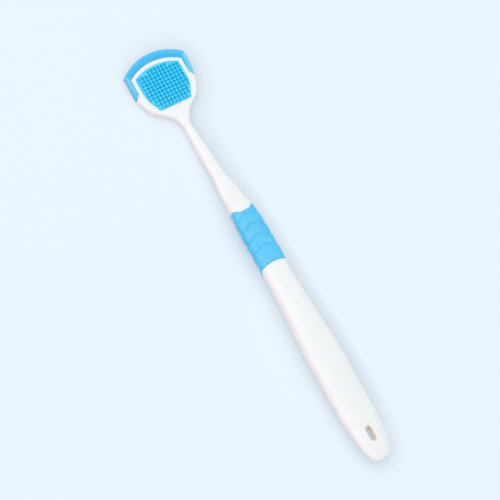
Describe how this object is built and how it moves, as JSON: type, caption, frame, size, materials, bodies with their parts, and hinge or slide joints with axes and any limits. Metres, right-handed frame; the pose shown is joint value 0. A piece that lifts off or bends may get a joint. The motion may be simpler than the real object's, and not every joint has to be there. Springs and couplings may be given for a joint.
{
  "type": "tongue brush",
  "caption": "Slim tongue cleaner: a white moulded handle with a shield-shaped head that carries a pad of soft nubs inside a scraper lip, a stepped soft grip sleeve and a hang slot.",
  "frame": {"origin": "middle of the brush's box in plan, on the plane that it lies on", "axes": "+X from the tail to the head, +Y to the left when the head is up, +Z out of the face that carries the nubs"},
  "size_m": [0.18, 0.027, 0.0093],
  "materials": {
    "white_plastic": "smooth satin-gloss injection-moulded polypropylene",
    "lip_soft_plastic": "soft satin thermoplastic elastomer, sky blue",
    "pad_soft_plastic": "soft translucent thermoplastic elastomer, sky blue",
    "grip_soft_plastic": "soft matt thermoplastic elastomer, sky blue"
  },
  "bodies": {
    "root": {"handle": "white_plastic", "scraper_lip": "lip_soft_plastic", "brush_pad": "pad_soft_plastic", "grip_sleeve": "grip_soft_plastic"}
  },
  "joints": []
}
